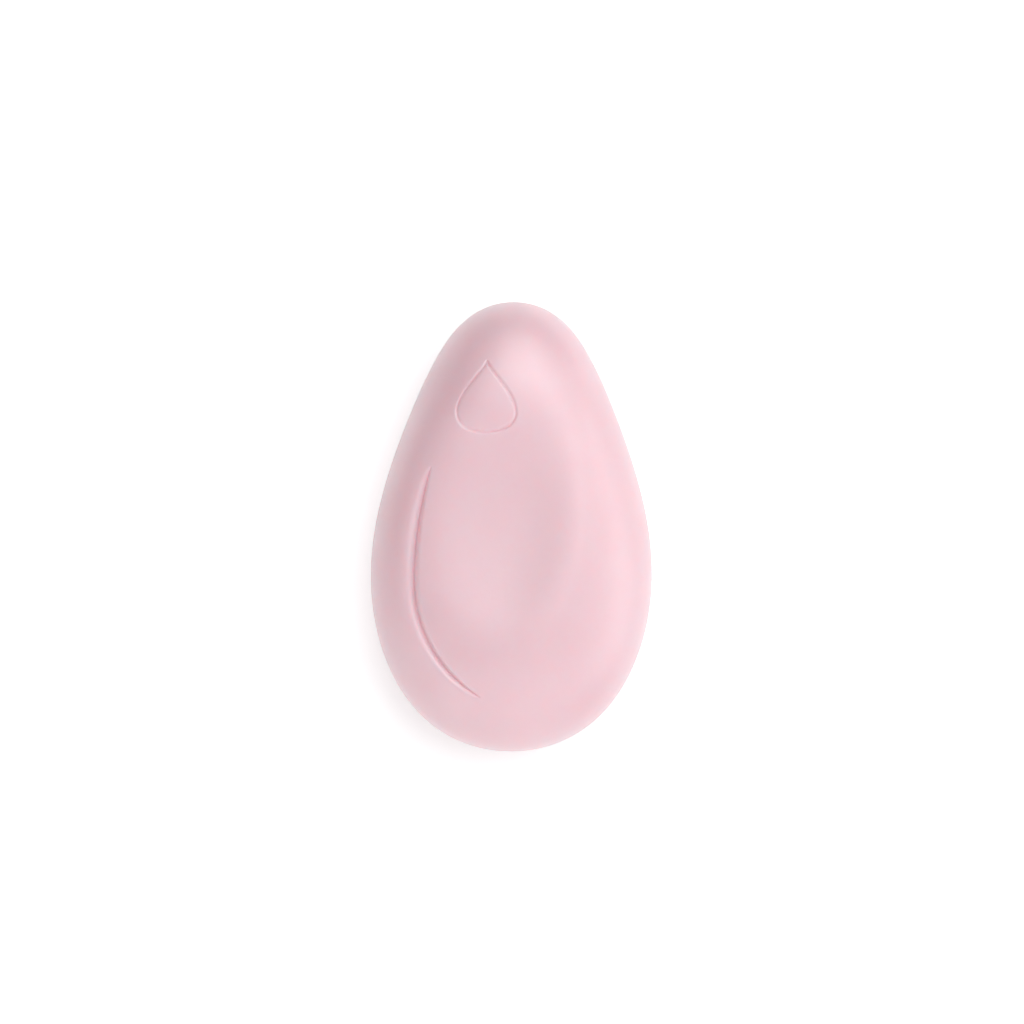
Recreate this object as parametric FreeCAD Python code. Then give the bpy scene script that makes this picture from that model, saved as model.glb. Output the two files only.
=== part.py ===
import FreeCAD, Part
import math
import os
from FreeCAD import Vector

# A pressed bar of soap, egg-shaped in plan, lying on its back with the moulded face up.
# It is one solid piece, stamped between two dies that meet half way up its side.
# X runs across the bar, Y from the wide heel to the narrow tip, and Z up out of the face.
# The origin is on the surface that the bar rests on, under the middle of its length.
# All sizes are in millimetres, and a share or an exponent has no unit.

# Overall size of the bar
LENGTH = 96.0
WIDTH = 60.0
FACE_HEIGHT = 15.2       # from the parting rib up to the top of the dome
BACK_HEIGHT = 12.0       # from the parting rib down to the flat that the bar rests on

# Plan outline: an ellipse whose half width is multiplied by a polynomial along the length
TIP_NARROWING = -0.2734
END_SLIMMING = -0.0738
TIP_ROUNDING = 0.1019
END_ROUNDING = 0.1825

# Domes: balls flattened to each half's height, with the shoulder pressed out a little squarer
FACE_ROUNDNESS = 2.15    # exponent of the face's sections, where 2 is an ellipse
BACK_ROUNDNESS = 2.6     # the back is flatter in the middle and squarer at the shoulder
END_FULLNESS = 0.25      # how much fuller the domes are towards the bar's two ends
REST_FLAT_DEPTH = 0.6    # how much of the back's dome is pressed flat

# Parting line: the narrow rib that is left where the flash is trimmed off
RIB_HEIGHT = 0.7
RIB_PROUD = 0.15

# Thumb hollow: a shallow tilted oval in the middle of the face
HOLLOW_DEPTH = 3.1
HOLLOW_LENGTH = 66.0
HOLLOW_LEFT = 26.0       # half width on the side of the crescent
HOLLOW_RIGHT = 17.0      # half width on the other side, where the wall is steeper
HOLLOW_WALL = 1.2        # 1 gives a plain bowl, and more a flatter floor with steeper walls
HOLLOW_LEAN = 11.0       # degrees that its long axis leans towards the right at the tip
HOLLOW_X = -0.5
HOLLOW_Y = 1.0

# Crescent cut along the left of the hollow, on two arcs that share their tangent
CRESCENT_INSET = 9.4     # from the side of the bar to the crescent's leftmost point
CRESCENT_Y = -11.5
CRESCENT_TIP_RADIUS = 84.4
CRESCENT_HEEL_RADIUS = 27.7
CRESCENT_TIP_REACH = 24.3
CRESCENT_HEEL_SWEEP = 61.5   # degrees of the lower arc that the cut runs along
LIP_RADIUS = 2.5         # rolled lip on the outer side of the cut
LIP_LIFT = 0.05          # how far the lip's arc starts above the face
LIP_TURN = 66.0          # degrees that the lip turns through, down to the bottom of the cut
WALL_DRAFT = 28.0        # degrees that the steep inner wall leans, so that the die lets go
LIP_START = 2.6          # from the line of the cut out to where the lip's arc starts
CUT_OVERSHOOT = 1.2      # how far the cutting shape stands above the face
CRESCENT_POINT = 0.15    # share of the full section that is left at the crescent's two points

# Fineness of the skins and outline, as spans between the points that they pass through
SKIN_SPANS = 24
OUTLINE_SPANS = 80
CRESCENT_SECTIONS = 15
BELLY_STEPS = 400        # steps in the search for the outline's widest place

FACE_FOOT = BACK_HEIGHT + RIB_HEIGHT


def outline_taper(along):
    """Factor on the ellipse's half width, from -1 at the heel to 1 at the tip."""
    return (1.0 + TIP_NARROWING * along + END_SLIMMING * along ** 2
            + TIP_ROUNDING * along ** 3 + END_ROUNDING * along ** 4)


def outline_reach(angle):
    """Reach of the outline from its long axis, at an angle from 0 at the heel to pi at the tip."""
    return math.sin(angle) * outline_taper(-math.cos(angle))


BELLY = max(outline_reach(math.pi * step / BELLY_STEPS) for step in range(BELLY_STEPS))


def plan_place(across, along):
    """Place in plan of a point of the unit disc that is stretched to the inside of the rib."""
    x = (WIDTH / 2 - RIB_PROUD) * across * outline_taper(along) / BELLY
    return x, (LENGTH / 2 - RIB_PROUD) * along


def hollow_depth(x, y):
    """Depth of the thumb hollow under the plain dome at a place in plan."""
    lean = math.radians(HOLLOW_LEAN)
    dx = x - HOLLOW_X
    dy = y - HOLLOW_Y
    across = dx * math.cos(lean) - dy * math.sin(lean)
    across /= HOLLOW_RIGHT if across > 0 else HOLLOW_LEFT
    along = (dx * math.sin(lean) + dy * math.cos(lean)) / (HOLLOW_LENGTH / 2)
    reach = across ** 2 + along ** 2
    return HOLLOW_DEPTH * (1.0 - reach ** HOLLOW_WALL) ** 2 if reach < 1.0 else 0.0


def dome_height(height, along):
    """Height of a dome over the middle of its width."""
    return height * (1.0 + END_FULLNESS * along ** 2)


def ball_point(a, b, roundness):
    """Point of a rounded unit ball's upper half, whose rim a square's four sides map onto."""
    across = math.sin(a) * math.sqrt(1.0 - math.sin(b) ** 2 / 2)
    along = math.sin(b) * math.sqrt(1.0 - math.sin(a) ** 2 / 2)
    up = abs(math.cos(a) * math.cos(b))
    reach = (math.hypot(across, along) ** roundness + up ** roundness) ** (-1.0 / roundness)
    return across * reach, along * reach, up * reach


def face_point(a, b):
    """Point of the moulded face, with the hollow pressed into it."""
    across, along, up = ball_point(a, b, FACE_ROUNDNESS)
    x, y = plan_place(across, along)
    return Vector(x, y, FACE_FOOT + up * (dome_height(FACE_HEIGHT, along) - hollow_depth(x, y)))


def back_point(a, b):
    """Point of the plain back, whose dome goes a little below the surface it rests on."""
    across, along, up = ball_point(a, b, BACK_ROUNDNESS)
    x, y = plan_place(across, along)
    return Vector(x, y, BACK_HEIGHT - up * dome_height(BACK_HEIGHT + REST_FLAT_DEPTH, along))


def half_bar(point):
    """Solid between one smooth skin and the flat plane at its foot."""
    turns = [math.pi * (step / SKIN_SPANS - 0.5) for step in range(SKIN_SPANS + 1)]
    skin = Part.BSplineSurface()
    skin.interpolate([[point(a, b) for b in turns] for a in turns])
    dome = skin.toShape()
    floor = Part.Face(Part.Wire(Part.__sortEdges__(dome.Edges)))
    shell = Part.Shell([dome, floor])
    shell.sewShape()
    return Part.Solid(shell)


def face_level(x, y):
    """Height of the moulded face over a place in plan, before the crescent is cut."""
    along = y / (LENGTH / 2 - RIB_PROUD)
    across = x * BELLY / ((WIDTH / 2 - RIB_PROUD) * outline_taper(along))
    up = (1.0 - math.hypot(across, along) ** FACE_ROUNDNESS) ** (1.0 / FACE_ROUNDNESS)
    return FACE_FOOT + up * (dome_height(FACE_HEIGHT, along) - hollow_depth(x, y))


def crescent_place(travel):
    """Place and heading in plan, at a distance along the crescent from its end near the tip."""
    leftmost = CRESCENT_INSET - WIDTH / 2
    before = CRESCENT_TIP_REACH - travel
    radius = CRESCENT_TIP_RADIUS if before > 0 else CRESCENT_HEEL_RADIUS
    turn = before / radius
    place = Vector(leftmost + radius * (1.0 - math.cos(turn)), CRESCENT_Y + radius * math.sin(turn), 0)
    inward = Vector(math.cos(turn), -math.sin(turn), 0)
    return place, inward


def crescent_section(travel, share):
    """Closed outline of the cutting shape across the crescent: lip, foot and inner wall."""
    place, inward = crescent_place(travel)
    size = CRESCENT_POINT + (1.0 - CRESCENT_POINT) * share
    edge = place - inward * LIP_START * size
    outer = edge - inward * LIP_RADIUS / 2
    inner = edge + inward * LIP_RADIUS / 2
    slope = (face_level(inner.x, inner.y) - face_level(outer.x, outer.y)) / LIP_RADIUS
    across = (inward + Vector(0, 0, slope)).normalize()
    out = (Vector(0, 0, 1) - inward * slope).normalize()
    depth = LIP_RADIUS * (1.0 - math.cos(math.radians(LIP_TURN))) - LIP_LIFT
    raised = (1.0 - share) * CRESCENT_POINT * (depth + LIP_LIFT * 2)
    edge_top = edge + Vector(0, 0, face_level(edge.x, edge.y)) + out * raised

    def at(run, rise):
        return edge_top + (across * run + out * rise) * size

    def on_lip(degrees):
        turn = math.radians(degrees)
        return at(LIP_RADIUS * math.sin(turn), LIP_RADIUS * (math.cos(turn) - 1.0) + LIP_LIFT)

    start = on_lip(0)
    halfway = on_lip(LIP_TURN / 2)
    foot = on_lip(LIP_TURN)
    draft = Vector(0, 0, 1) + inward * math.tan(math.radians(WALL_DRAFT))
    inner_top = foot + draft * (depth + CUT_OVERSHOOT) * size
    outer_top = start + out * CUT_OVERSHOOT * size
    return Part.Wire([Part.Arc(start, halfway, foot).toShape(),
                      Part.LineSegment(foot, inner_top).toShape(),
                      Part.LineSegment(inner_top, outer_top).toShape(),
                      Part.LineSegment(outer_top, start).toShape()])


def crescent_cutter():
    """Solid of the crescent cut: full in the middle, and tapered to a point at both ends."""
    whole = CRESCENT_TIP_REACH + CRESCENT_HEEL_RADIUS * math.radians(CRESCENT_HEEL_SWEEP)
    sections = []
    for step in range(CRESCENT_SECTIONS):
        turn = math.pi * step / (CRESCENT_SECTIONS - 1)
        travel = whole * (1.0 - math.cos(turn)) / 2
        sections.append(crescent_section(travel, math.sin(turn)))
    return Part.makeLoft(sections, True, False)


def outline_at(level):
    """Closed curve of the bar's full outline at a level above the table."""
    points = []
    for step in range(OUTLINE_SPANS):
        angle = 2 * math.pi * step / OUTLINE_SPANS
        x = WIDTH / 2 * outline_reach(angle) / BELLY
        points.append(Vector(x, -LENGTH / 2 * math.cos(angle), level))
    curve = Part.BSplineCurve()
    curve.interpolate(Points=points, PeriodicFlag=True)
    return Part.Wire([curve.toShape()])


def trimmed_rib():
    """Slab with the full outline, whose edge stands a little proud all round as the rib."""
    return Part.makeLoft([outline_at(BACK_HEIGHT), outline_at(FACE_FOOT)], True, True)


half_with_face = half_bar(face_point).cut(crescent_cutter())
table = Part.makeBox(2 * WIDTH, 2 * LENGTH, WIDTH, Vector(-WIDTH, -LENGTH, -WIDTH))
half_with_back = half_bar(back_point).cut(table)
soap_bar = trimmed_rib().fuse([half_with_face, half_with_back]).Solids[0]

os.makedirs("parts", exist_ok=True)
soap_bar.exportStep("parts/soap_bar.step")
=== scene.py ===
import math
import bmesh
import bpy
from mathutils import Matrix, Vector, noise


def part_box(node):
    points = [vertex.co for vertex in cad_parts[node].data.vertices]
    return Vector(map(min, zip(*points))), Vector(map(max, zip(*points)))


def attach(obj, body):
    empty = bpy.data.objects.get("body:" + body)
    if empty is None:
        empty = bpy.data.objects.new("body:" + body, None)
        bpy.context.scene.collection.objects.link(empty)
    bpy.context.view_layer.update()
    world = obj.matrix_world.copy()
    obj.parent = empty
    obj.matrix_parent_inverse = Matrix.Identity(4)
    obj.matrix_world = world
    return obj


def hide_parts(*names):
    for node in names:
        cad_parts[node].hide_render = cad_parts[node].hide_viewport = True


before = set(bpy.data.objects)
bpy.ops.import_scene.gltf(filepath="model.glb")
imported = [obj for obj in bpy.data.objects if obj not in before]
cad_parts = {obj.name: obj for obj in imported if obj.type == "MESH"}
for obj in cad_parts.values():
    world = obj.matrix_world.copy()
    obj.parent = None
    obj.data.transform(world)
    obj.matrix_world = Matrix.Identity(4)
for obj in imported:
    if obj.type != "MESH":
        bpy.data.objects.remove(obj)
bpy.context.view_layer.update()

bpy.ops.object.select_all(action="DESELECT")

# The bar of soap: one solid of milled toilet soap, stamped in one blow between two dies that
# meet half way up its side. It lies on its plain back, and the moulded face looks up, with a
# shallow thumb hollow and a crescent cut whose outer side is rolled over like a lip.
bar_low, bar_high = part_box("soap_bar")
bar_length = bar_high.y - bar_low.y
bar_width = bar_high.x - bar_low.x
back_height = 0.0120
rib_height = 0.0007
rib_proud = 0.00015
face_height = 0.0152
face_foot = back_height + rib_height
rest_flat_depth = 0.0006
rest_flat_softness = 0.0003
tip_narrowing = -0.2734
end_slimming = -0.0738
tip_rounding = 0.1019
end_rounding = 0.1825
face_roundness = 2.15
back_roundness = 2.6
end_fullness = 0.25


def outline_taper(along):
    """Factor on an ellipse's half width, from -1 at the heel to 1 at the tip."""
    return (1.0 + tip_narrowing * along + end_slimming * along ** 2
            + tip_rounding * along ** 3 + end_rounding * along ** 4)


belly_steps = 400
belly_angles = [math.pi * step / belly_steps for step in range(belly_steps + 1)]
belly = max(math.sin(angle) * outline_taper(-math.cos(angle)) for angle in belly_angles)


def outline_point(angle, inset=0.0):
    """Point of the plan outline: 0 is the heel, pi the tip, and beyond pi the left side."""
    x = (bar_width / 2 - inset) * math.sin(angle) * outline_taper(-math.cos(angle)) / belly
    return x, -(bar_length / 2 - inset) * math.cos(angle)


def dome_shares(x, y, roundness):
    """Rise of a rounded ball over a place in plan, and its height factor at that length."""
    along = min(1.0, max(-1.0, y / (bar_length / 2 - rib_proud)))
    across = x * belly / ((bar_width / 2 - rib_proud) * outline_taper(along))
    up = max(0.0, 1.0 - math.hypot(across, along) ** roundness) ** (1.0 / roundness)
    return up, 1.0 + end_fullness * along ** 2


hollow_depth = 0.0031
hollow_half_length = 0.0330
hollow_left = 0.0260
hollow_right = 0.0170
hollow_wall = 1.2
hollow_lean = math.radians(11.0)
hollow_x = -0.0005
hollow_y = 0.0010


def hollow_level(x, y):
    """Depth of the thumb hollow, a shallow tilted oval in the middle of the face."""
    dx = x - hollow_x
    dy = y - hollow_y
    across = dx * math.cos(hollow_lean) - dy * math.sin(hollow_lean)
    across /= hollow_right if across > 0 else hollow_left
    along = (dx * math.sin(hollow_lean) + dy * math.cos(hollow_lean)) / hollow_half_length
    reach = across ** 2 + along ** 2
    return hollow_depth * (1.0 - reach ** hollow_wall) ** 2 if reach < 1.0 else 0.0


wave_length = 0.017
wave_height = 0.00004
ripple_length = 0.0048
ripple_height = 0.000012


def unevenness(x, y, z):
    """Faint waves that a warm pressed face is left with when it leaves the die."""
    here = Vector((x, y, z))
    return (wave_height * noise.noise(here / wave_length)
            + ripple_height * noise.noise(here / ripple_length))


def face_level(x, y):
    """Height of the moulded face over a place in plan, before the crescent is cut."""
    up, side = dome_shares(x, y, face_roundness)
    rise = up * (face_height * side - hollow_level(x, y))
    return face_foot + rise + up * unevenness(x, y, face_foot)


def back_level(x, y):
    """Height of the plain back over a place in plan, pressed flat where the bar rests."""
    up, side = dome_shares(x, y, back_roundness)
    level = back_height - up * (back_height + rest_flat_depth) * side
    level += up * unevenness(x, y, -face_foot) * min(1.0, max(0.0, level / back_height))
    if level <= 0.0:
        return 0.0
    if level < rest_flat_softness:
        return level ** 2 / rest_flat_softness * (2.0 - level / rest_flat_softness)
    return level


# The crescent cut runs on two arcs that share their tangent at its leftmost point.
crescent_left = 0.0094 - bar_width / 2
crescent_turn_y = -0.0115
tip_arc_radius = 0.0844
heel_arc_radius = 0.0277
tip_arc_reach = 0.0243
crescent_length = tip_arc_reach + heel_arc_radius * math.radians(61.5)
lip_radius = 0.0025
lip_start = 0.0026
lip_turn = math.radians(66.0)
lip_softness = 0.00145
wall_draft = math.tan(math.radians(34.0))
lip_points = 13
lip_crowding = 1.25
foot_round = 0.00040
brow_round = 0.00050
brow_reaches = (0.0002, 0.0005, 0.0009, 0.0014, 0.0021, 0.0029)
smallest_share = 0.02


def crescent_place(travel):
    """Place and inward heading in plan, at a distance from the crescent's end near the tip."""
    before = tip_arc_reach - travel
    radius = tip_arc_radius if before > 0 else heel_arc_radius
    turn = before / radius
    place = Vector((crescent_left + radius * (1.0 - math.cos(turn)),
                    crescent_turn_y + radius * math.sin(turn)))
    return place, Vector((math.cos(turn), -math.sin(turn)))


def bend(start, corner, end, steps):
    """Points that round a corner, from start to end, both included."""
    points = []
    for step in range(steps + 1):
        t = step / steps
        points.append(tuple(a * (1 - t) ** 2 + 2 * b * t * (1 - t) + c * t ** 2
                            for a, b, c in zip(start, corner, end)))
    return points


def crescent_profile(travel):
    """Section across the cut as (run, height) pairs, left and right of its foot."""
    share = 2.0 * math.sqrt(max(0.0, travel / crescent_length * (1.0 - travel / crescent_length)))
    place, inward = crescent_place(travel)

    def level(run):
        return face_level(*(place + inward * run))

    size = max(share, smallest_share)
    radius = lip_radius * size
    start_run = -lip_start * size
    start_level = level(start_run)
    slope = math.atan2(level(start_run + radius / 2) - level(start_run - radius / 2), radius)

    def on_lip(turn):
        run = radius * (math.sin(turn) * math.cos(slope) + (1 - math.cos(turn)) * math.sin(slope))
        rise = radius * (math.sin(turn) * math.sin(slope) - (1 - math.cos(turn)) * math.cos(slope))
        return start_run + run, start_level + rise

    foot = on_lip(lip_turn)
    soft_start = start_run - lip_softness * size
    lip_reach = foot[0] - soft_start
    lip_drop = level(foot[0]) - foot[1]
    face_rise = (level(foot[0]) - level(foot[0] - radius / 4)) / (radius / 4)
    swell = (face_rise - math.tan(slope - lip_turn)) * lip_reach / lip_drop

    def lip_level(run):
        return level(run) - lip_drop * ((run - soft_start) / lip_reach) ** swell

    brow_run = foot[0] + wall_draft * (level(foot[0]) - foot[1])
    brow = (brow_run, level(brow_run))
    toe_run = foot[0] - 0.6 * foot_round * size
    foot_out = (foot[0] + wall_draft * foot_round * size, foot[1] + foot_round * size)
    toe = bend((toe_run, lip_level(toe_run)), foot, foot_out, 4)
    middle = toe[2]
    lip_runs = [toe_run + (soft_start - toe_run) * (step / lip_points) ** lip_crowding
                for step in range(1, lip_points + 1)]
    left = [toe[1], toe[0]] + [(run, lip_level(run)) for run in lip_runs]
    wall_top = (brow[0] - wall_draft * brow_round * size, brow[1] - brow_round * size)
    brow_end = brow[0] + brow_round * size
    brow_curve = bend(wall_top, brow, (brow_end, level(brow_end)), 6)
    halfway = tuple((a + b) / 2 for a, b in zip(foot_out, wall_top))
    right = [toe[3], toe[4], halfway] + brow_curve
    right += [(brow_end + reach * size, level(brow_end + reach * size)) for reach in brow_reaches]
    return share, place, inward, middle, left, right


def level_on(section, run, fallback):
    """Height of a section at a run from its foot outwards, or of the face beyond its end."""
    for (run_a, level_a), (run_b, level_b) in zip(section, section[1:]):
        if abs(run_a) <= abs(run) <= abs(run_b) and run_a != run_b:
            return level_a + (level_b - level_a) * (run - run_a) / (run_b - run_a)
    return fallback


near_rings = 15
fan_reach = 0.0010


def near_ring_points(travel, side):
    """Points from the foot of the cut outwards, to the left (-1) or to the right (1)."""
    share, place, inward, middle, left, right = crescent_profile(travel)
    section = [middle] + (left if side < 0 else right)
    base = place + inward * middle[0]
    runs = [(run - middle[0], level) for run, level in section]
    points = []
    for ring in range(1, near_rings + 1):
        least_run = fan_reach * ring / near_rings * (1.0 - share)
        run = side * math.hypot(runs[ring][0], least_run)
        x, y = base + inward * run
        points.append(Vector((x, y, level_on(runs, run, face_level(x, y)))))
    return Vector((base.x, base.y, middle[1])), points


def fan_ring_points(travel, side, turned):
    """Points outwards from an end of the cut, turned from its left side towards its right."""
    place, inward, middle = crescent_profile(travel)[1:4]
    base = place + inward * middle[0]
    along = Vector((inward.y, -inward.x)) * side
    heading = -inward * math.cos(turned) + along * math.sin(turned)
    points = []
    for ring in range(1, near_rings + 1):
        x, y = base + heading * fan_reach * ring / near_rings
        points.append(Vector((x, y, face_level(x, y))))
    return Vector((base.x, base.y, middle[1])), points


# Rays run from the foot of the crescent cut out to the plan outline, all the way round.
side_rays = 96
heel_rays = 48
tip_rays = 84
tip_left = 4.372
heel_left = 5.99
heel_right = 7.47
tip_right = 8.02
rays = []
for step in range(side_rays):
    t = step / side_rays
    rays.append(near_ring_points(crescent_length * t, -1) + (tip_left + (heel_left - tip_left) * t,))
for step in range(heel_rays):
    t = step / heel_rays
    rays.append(fan_ring_points(crescent_length, 1, math.pi * t)
                + (heel_left + (heel_right - heel_left) * t,))
for step in range(side_rays):
    t = step / side_rays
    rays.append(near_ring_points(crescent_length * (1 - t), 1)
                + (heel_right + (tip_right - heel_right) * t,))
for step in range(tip_rays):
    t = step / tip_rays
    rays.append(fan_ring_points(0.0, -1, math.pi * (1 - t))
                + (tip_right + (tip_left + 2 * math.pi - tip_right) * t,))

face_rings = 46
back_rings = 30
rib_profile = [(0.0, 0.0), (0.75, 0.12), (1.0, 0.3), (1.0, 0.7), (0.75, 0.88), (0.0, 1.0)]


def ray_points(foot, near, angle):
    """One line of the skin: back centre, shoulder, parting rib, face and down into the cut."""
    x, y = outline_point(angle, rib_proud)
    line = [Vector((0, 0, 0))]
    for ring in range(1, back_rings):
        reach = math.sin(math.pi / 2 * ring / back_rings)
        line.append(Vector((x * reach, y * reach, back_level(x * reach, y * reach))))
    for proud, rise in rib_profile:
        edge_x, edge_y = outline_point(angle, rib_proud * (1.0 - proud))
        line.append(Vector((edge_x, edge_y, back_height + rib_height * rise)))
    for ring in range(face_rings - 1, 0, -1):
        reach = math.sin(math.pi / 2 * ring / face_rings)
        px = near[-1].x + (x - near[-1].x) * reach
        py = near[-1].y + (y - near[-1].y) * reach
        line.append(Vector((px, py, face_level(px, py))))
    return line + near[::-1] + [foot]


lines = [ray_points(*ray) for ray in rays]
bpy.ops.mesh.primitive_grid_add(x_subdivisions=len(lines), y_subdivisions=len(lines[0]) - 1, size=1.0)
soap = bpy.context.object
soap.name = "pressed_soap_bar"
columns = len(lines) + 1
for vertex in soap.data.vertices:
    vertex.co = lines[vertex.index % columns % len(lines)][vertex.index // columns]
bpy.ops.object.mode_set(mode="EDIT")
bpy.ops.mesh.select_all(action="SELECT")
bpy.ops.mesh.remove_doubles(threshold=2e-7)
bpy.ops.mesh.normals_make_consistent(inside=False)
bpy.ops.object.mode_set(mode="OBJECT")
bpy.ops.object.shade_smooth()

# A plain water drop is pressed into the face near the tip, as one thin soft line.
drop_x = -0.0056
drop_y = 0.0272
drop_half_height = 0.0074
drop_spread = 0.0088
drop_line = 0.00026
drop_depth = 0.00026
drop_steps = 72
drop_half_field = 0.0105
drop_field_margin = 0.0010
fine_bands = (0.0026, 0.0016, 0.0010)


def drop_outline():
    """Closed outline of the drop, pointed at the top and round at the bottom."""
    points = []
    for step in range(drop_steps):
        turn = 2 * math.pi * step / drop_steps
        bulge = drop_spread * math.sin(turn) * abs(math.sin(turn / 2)) ** 1.5
        points.append(Vector((drop_x + bulge, drop_y + drop_half_height * math.cos(turn))))
    return points


drop = drop_outline()


def drop_distance(x, y):
    """Distance in plan from a place to the line of the drop."""
    place = Vector((x, y))
    nearest = 1.0
    for start, end in zip(drop, drop[1:] + drop[:1]):
        side = end - start
        share = min(1.0, max(0.0, (place - start).dot(side) / side.length_squared))
        nearest = min(nearest, (place - start - side * share).length)
    return nearest


def press_drop():
    """Fine faces along the drop's line, pressed down into a soft groove."""
    for reach in fine_bands:
        mesh = bmesh.from_edit_mesh(soap.data)
        bpy.ops.mesh.select_all(action="DESELECT")
        for face in mesh.faces:
            centre = face.calc_center_median()
            near = (abs(centre.x - drop_x) < drop_half_field
                    and abs(centre.y - drop_y) < drop_half_field and centre.z > face_foot)
            if near and drop_distance(centre.x, centre.y) < reach:
                face.select_set(True)
        mesh.select_flush(True)
        bmesh.update_edit_mesh(soap.data)
        bpy.ops.mesh.subdivide(number_cuts=1)
    mesh = bmesh.from_edit_mesh(soap.data)
    for vertex in mesh.verts:
        x, y, z = vertex.co
        beside = abs(x - drop_x) < drop_half_field
        if beside and abs(y - drop_y) < drop_half_field + drop_field_margin and z > face_foot:
            groove = drop_depth * math.exp(-(drop_distance(x, y) / drop_line) ** 2)
            vertex.co.z = face_level(x, y) - groove
    bmesh.update_edit_mesh(soap.data)


bpy.context.view_layer.objects.active = soap
bpy.ops.object.mode_set(mode="EDIT")
press_drop()
bpy.ops.object.mode_set(mode="OBJECT")

# Milled soap is a waxy pink mass that light sinks into, with a satin skin from the die.
soap_finish = bpy.data.materials.new("milled_pink_soap")
soap_finish.use_nodes = True
nodes = soap_finish.node_tree.nodes
links = soap_finish.node_tree.links
skin = nodes["Principled BSDF"]
bar_space = nodes.new("ShaderNodeTexCoord")


def pattern(scale, detail):
    """Noise that is fixed to the bar, with features about one over the scale in metres."""
    grain = nodes.new("ShaderNodeTexNoise")
    grain.inputs["Scale"].default_value = scale
    grain.inputs["Detail"].default_value = detail
    links.new(bar_space.outputs["Object"], grain.inputs["Vector"])
    return grain.outputs["Fac"]


def stretched(value, low, high, out_low, out_high):
    """The same value, stretched from one range to another."""
    ranged = nodes.new("ShaderNodeMapRange")
    ranged.inputs["From Min"].default_value = low
    ranged.inputs["From Max"].default_value = high
    ranged.inputs["To Min"].default_value = out_low
    ranged.inputs["To Max"].default_value = out_high
    links.new(value, ranged.inputs["Value"])
    return ranged.outputs["Result"]


tint = nodes.new("ShaderNodeMix")
tint.data_type = "RGBA"
tint.inputs["A"].default_value = (0.842, 0.578, 0.636, 1.0)
tint.inputs["B"].default_value = (0.857, 0.602, 0.661, 1.0)
links.new(stretched(pattern(70.0, 3.0), 0.35, 0.65, 0.0, 1.0), tint.inputs["Factor"])
links.new(tint.outputs["Result"], skin.inputs["Base Color"])
links.new(stretched(pattern(400.0, 4.0), 0.3, 0.7, 0.42, 0.50), skin.inputs["Roughness"])
skin.inputs["Subsurface Weight"].default_value = 1.0
skin.inputs["Subsurface Radius"].default_value = (1.0, 0.42, 0.36)
skin.inputs["Subsurface Scale"].default_value = 0.0065
skin.inputs["Specular IOR Level"].default_value = 1.0
skin.inputs["Coat Weight"].default_value = 1.0
skin.inputs["Coat IOR"].default_value = 1.6
skin.inputs["Coat Roughness"].default_value = 0.43
ripple = nodes.new("ShaderNodeBump")
ripple.inputs["Strength"].default_value = 0.35
ripple.inputs["Distance"].default_value = 0.00006
links.new(pattern(900.0, 3.0), ripple.inputs["Height"])
links.new(ripple.outputs["Normal"], skin.inputs["Normal"])
soap.data.materials.append(soap_finish)

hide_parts("soap_bar")
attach(soap, "root")

# The floor is a plain white paper sheet, much wider than the picture, under the bar.
# It shows as white to the camera and keeps the bar's soft shadow.
bpy.ops.mesh.primitive_plane_add(size=3.0, location=(0, 0, 0))
floor = bpy.context.object
floor.name = "floor"
floor_finish = bpy.data.materials.new("white_sheet")
floor_finish.use_nodes = True
floor_nodes = floor_finish.node_tree.nodes
floor_links = floor_finish.node_tree.links
sheet = floor_nodes["Principled BSDF"]
sheet.inputs["Base Color"].default_value = (0.93, 0.93, 0.93, 1.0)
sheet.inputs["Roughness"].default_value = 0.9
sheet.inputs["Specular IOR Level"].default_value = 0.0
rays_seen = floor_nodes.new("ShaderNodeLightPath")
seen = floor_nodes.new("ShaderNodeMath")
seen.operation = "MAXIMUM"
floor_links.new(rays_seen.outputs["Is Camera Ray"], seen.inputs[0])
floor_links.new(rays_seen.outputs["Is Glossy Ray"], seen.inputs[1])
seen_through = floor_nodes.new("ShaderNodeMath")
seen_through.operation = "MAXIMUM"
floor_links.new(seen.outputs["Value"], seen_through.inputs[0])
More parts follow.
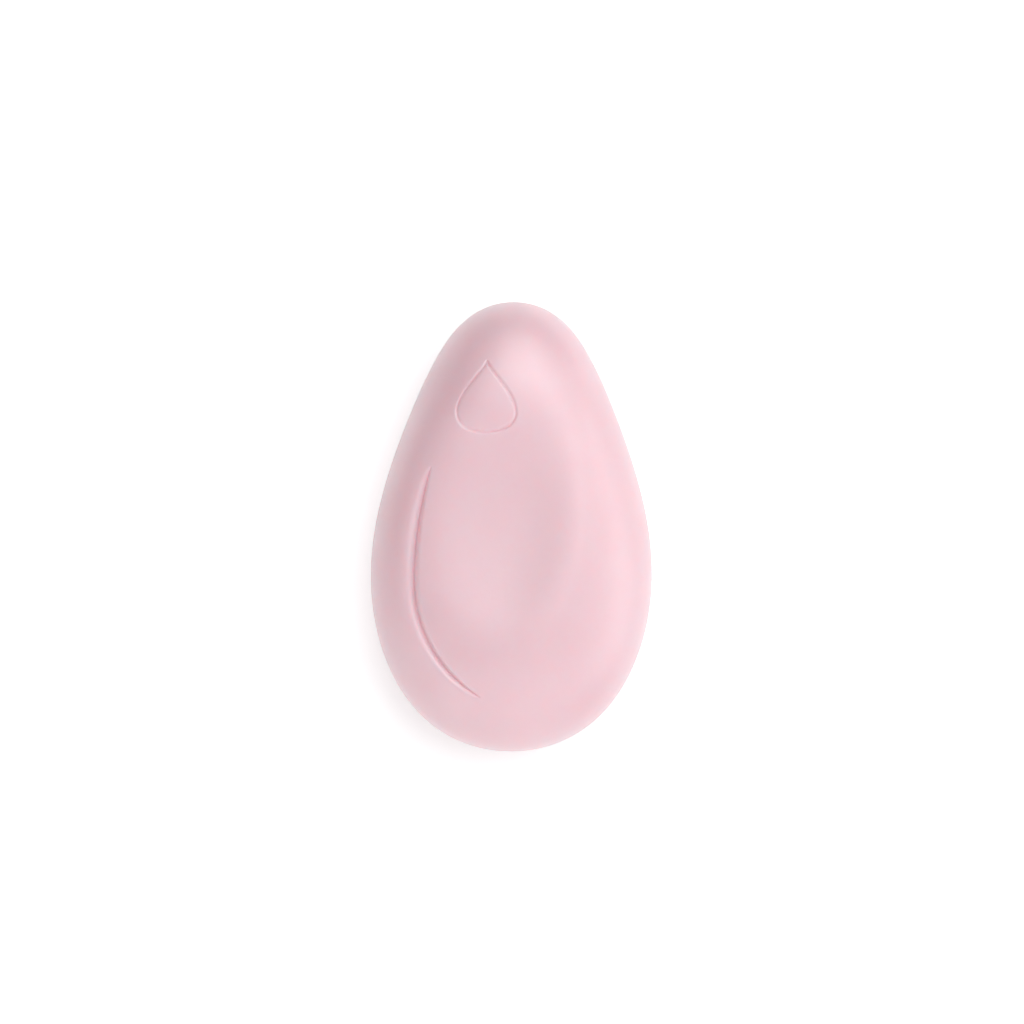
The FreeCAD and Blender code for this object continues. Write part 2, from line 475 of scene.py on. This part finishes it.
floor_links.new(rays_seen.outputs["Is Transmission Ray"], seen_through.inputs[1])
lift = floor_nodes.new("ShaderNodeMath")
lift.operation = "MULTIPLY"
lift.inputs[1].default_value = 0.33
floor_links.new(seen_through.outputs["Value"], lift.inputs[0])
sheet.inputs["Emission Color"].default_value = (1.0, 1.0, 1.0, 1.0)
floor_links.new(lift.outputs["Value"], sheet.inputs["Emission Strength"])
floor.data.materials.append(floor_finish)

# Studio light: two long panels on the right, big soft ones over the heel and the tip, and a
# weak one on the left that keeps that flank from going grey, in a room that is nearly dark.
room = bpy.data.worlds.new("dim_room")
bpy.context.scene.world = room
room.use_nodes = True
air = room.node_tree.nodes["Background"]
air.inputs["Color"].default_value = (1.0, 1.0, 1.0, 1.0)
air.inputs["Strength"].default_value = 0.08


def soft_panel(name, place, size, power, length=None):
    """Soft lamp that faces the bar, square or with a length of its own."""
    bpy.ops.object.light_add(type="AREA", location=place)
    lamp = bpy.context.object
    lamp.name = name
    lamp.data.shape = "RECTANGLE"
    lamp.data.size = size
    lamp.data.size_y = length or size
    lamp.data.energy = power
    lamp.rotation_euler = (-Vector(place)).to_track_quat("-Z", "Y").to_euler()


soft_panel("right_panel", (1.00, 0.00, 0.42), 1.2, 3.6, 0.4)
soft_panel("right_high_panel", (0.80, -0.10, 0.75), 1.2, 1.5, 0.5)
soft_panel("heel_panel", (-0.06, -0.92, 0.62), 1.5, 6.5)
soft_panel("left_panel", (-0.78, -0.50, 0.45), 1.0, 2.4)
soft_panel("tip_panel", (0.18, 0.54, 1.00), 1.0, 8.7)

# The camera looks straight down on the face with a long lens, and is turned a little, as the
# photograph is. The width of the view is measured at the height of the parting line.
lens = 100.0
sensor = 36.0
view_width = 0.2186
bpy.ops.object.camera_add(location=(0.0, 0.00316, face_foot + lens / sensor * view_width),
                          rotation=(0.0, 0.0, math.radians(0.65)))
camera = bpy.context.object
camera.data.lens = lens
camera.data.sensor_width = sensor
camera.data.clip_start = 0.01
bpy.context.scene.camera = camera
bpy.context.scene.view_settings.view_transform = "Standard"
